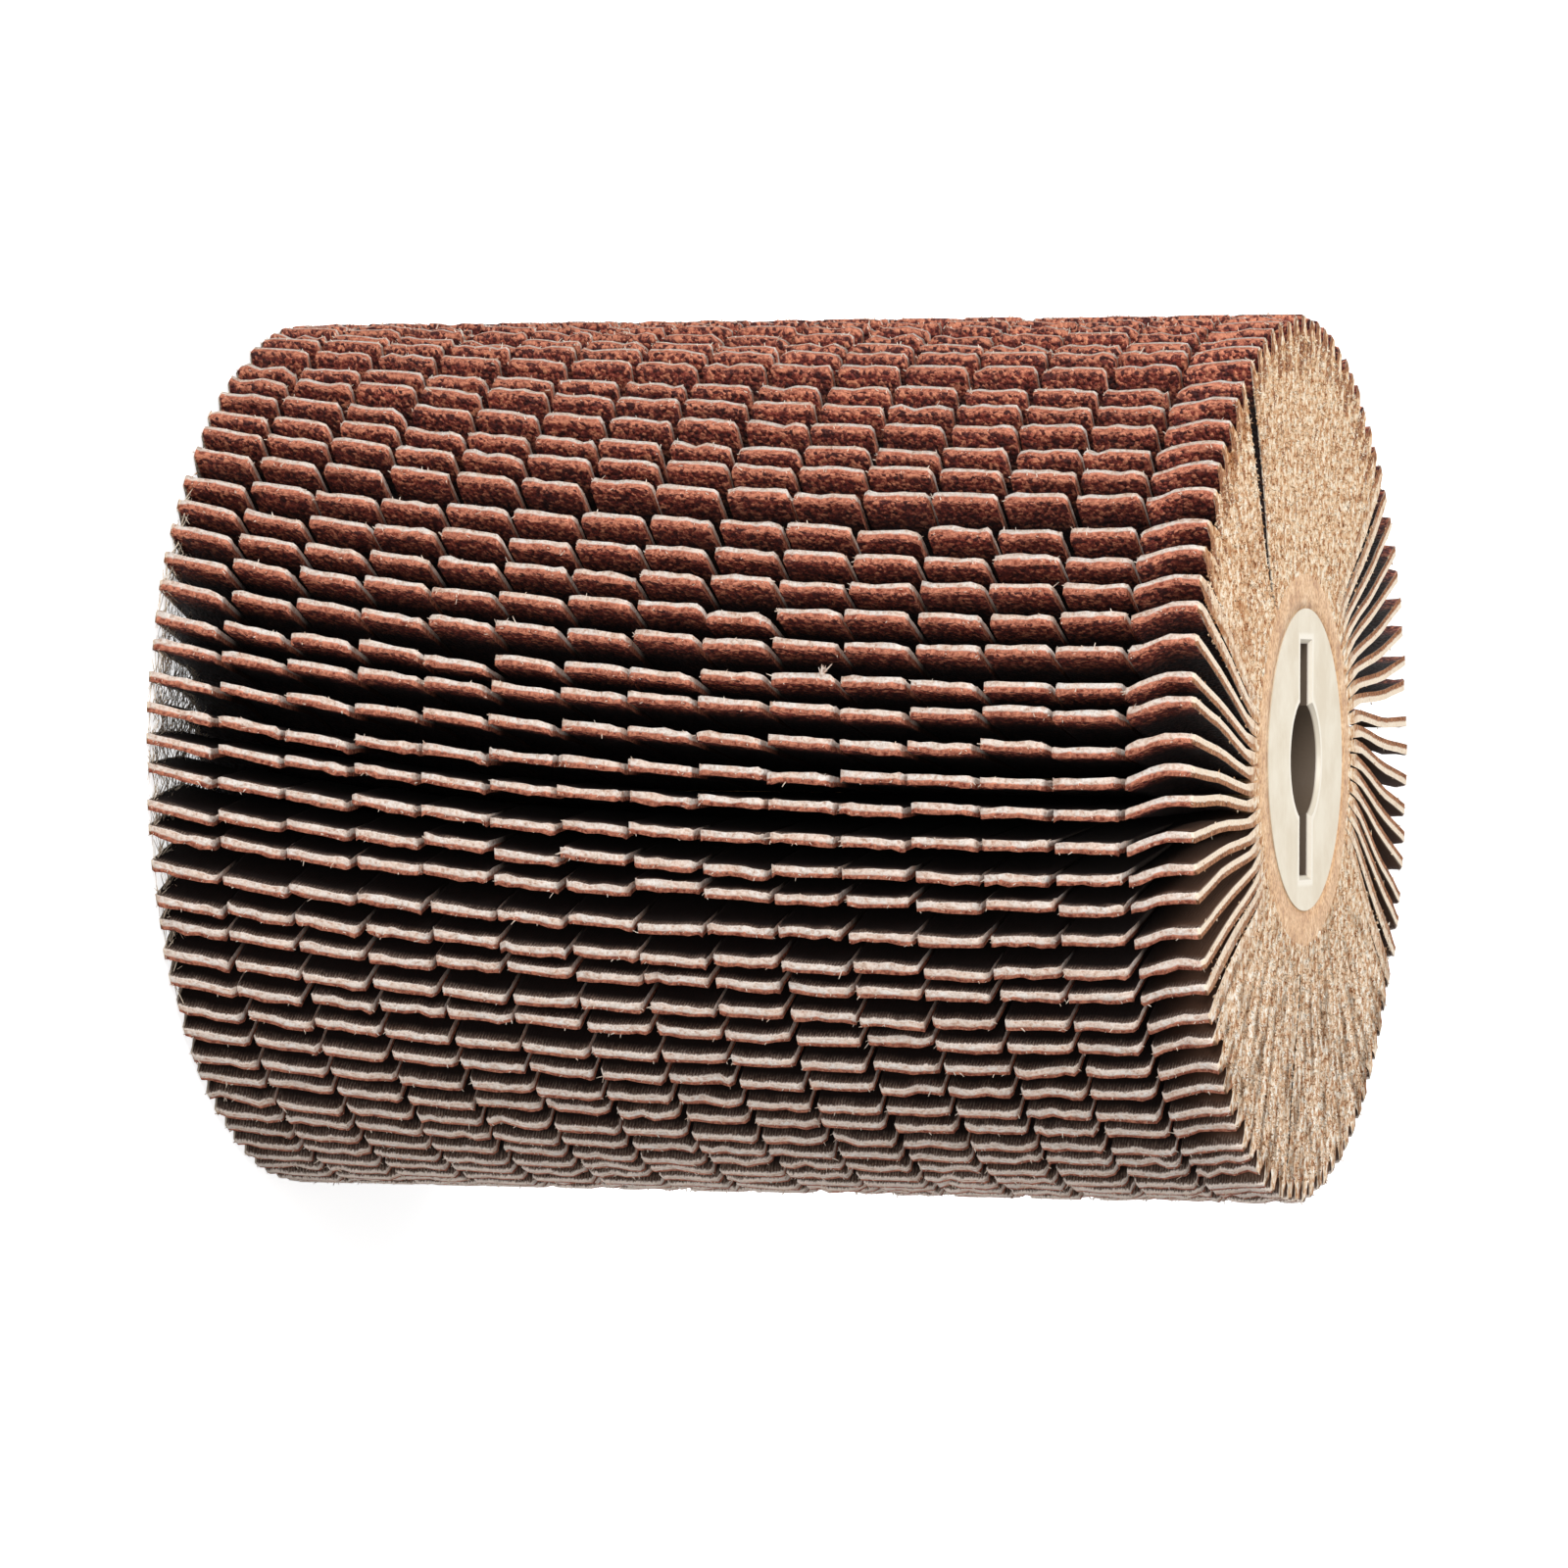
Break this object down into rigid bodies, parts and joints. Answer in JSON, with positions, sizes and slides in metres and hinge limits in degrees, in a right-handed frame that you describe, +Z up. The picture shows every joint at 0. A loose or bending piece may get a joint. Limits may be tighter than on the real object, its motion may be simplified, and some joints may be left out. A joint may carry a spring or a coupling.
{
  "type": "flap wheel",
  "caption": "Wide drum-shaped flap wheel: slashed abrasive cloth flaps bonded round a cylindrical core with a keyed bore.",
  "frame": {"origin": "centre of the lower end face, on the wheel's axis, where the wheel stands on its end", "axes": "+Z up along the wheel's axis, +X along the two keyways of the bore"},
  "size_m": [0.1, 0.1, 0.12],
  "materials": {
    "core_plastic": "smooth moulded ivory plastic",
    "resin": "cast amber resin",
    "abrasive_cloth": "red-brown aluminium oxide grit on tan cotton cloth"
  },
  "bodies": {
    "root": {"core": "core_plastic", "resin_bond": "resin", "flap_pair_01": "abrasive_cloth", "flap_pair_02": "abrasive_cloth", "flap_pair_03": "abrasive_cloth", "flap_pair_04": "abrasive_cloth", "flap_pair_05": "abrasive_cloth", "flap_pair_06": "abrasive_cloth", "flap_pair_07": "abrasive_cloth", "flap_pair_08": "abrasive_cloth", "flap_pair_09": "abrasive_cloth", "flap_pair_10": "abrasive_cloth", "flap_pair_11": "abrasive_cloth", "flap_pair_12": "abrasive_cloth", "flap_pair_13": "abrasive_cloth", "flap_pair_14": "abrasive_cloth", "flap_pair_15": "abrasive_cloth", "flap_pair_16": "abrasive_cloth", "flap_pair_17": "abrasive_cloth", "flap_pair_18": "abrasive_cloth", "flap_pair_19": "abrasive_cloth", "flap_pair_20": "abrasive_cloth", "flap_pair_21": "abrasive_cloth", "flap_pair_22": "abrasive_cloth", "flap_pair_23": "abrasive_cloth", "flap_pair_24": "abrasive_cloth", "flap_pair_25": "abrasive_cloth", "flap_pair_26": "abrasive_cloth", "flap_pair_27": "abrasive_cloth", "flap_pair_28": "abrasive_cloth", "flap_pair_29": "abrasive_cloth", "flap_pair_30": "abrasive_cloth", "flap_pair_31": "abrasive_cloth", "flap_pair_32": "abrasive_cloth", "flap_pair_33": "abrasive_cloth", "flap_pair_34": "abrasive_cloth", "flap_pair_35": "abrasive_cloth", "flap_pair_36": "abrasive_cloth", "flap_pair_37": "abrasive_cloth", "flap_pair_38": "abrasive_cloth", "flap_pair_39": "abrasive_cloth", "flap_pair_40": "abrasive_cloth", "flap_pair_41": "abrasive_cloth", "flap_pair_42": "abrasive_cloth", "flap_pair_43": "abrasive_cloth", "flap_pair_44": "abrasive_cloth"}
  },
  "joints": []
}
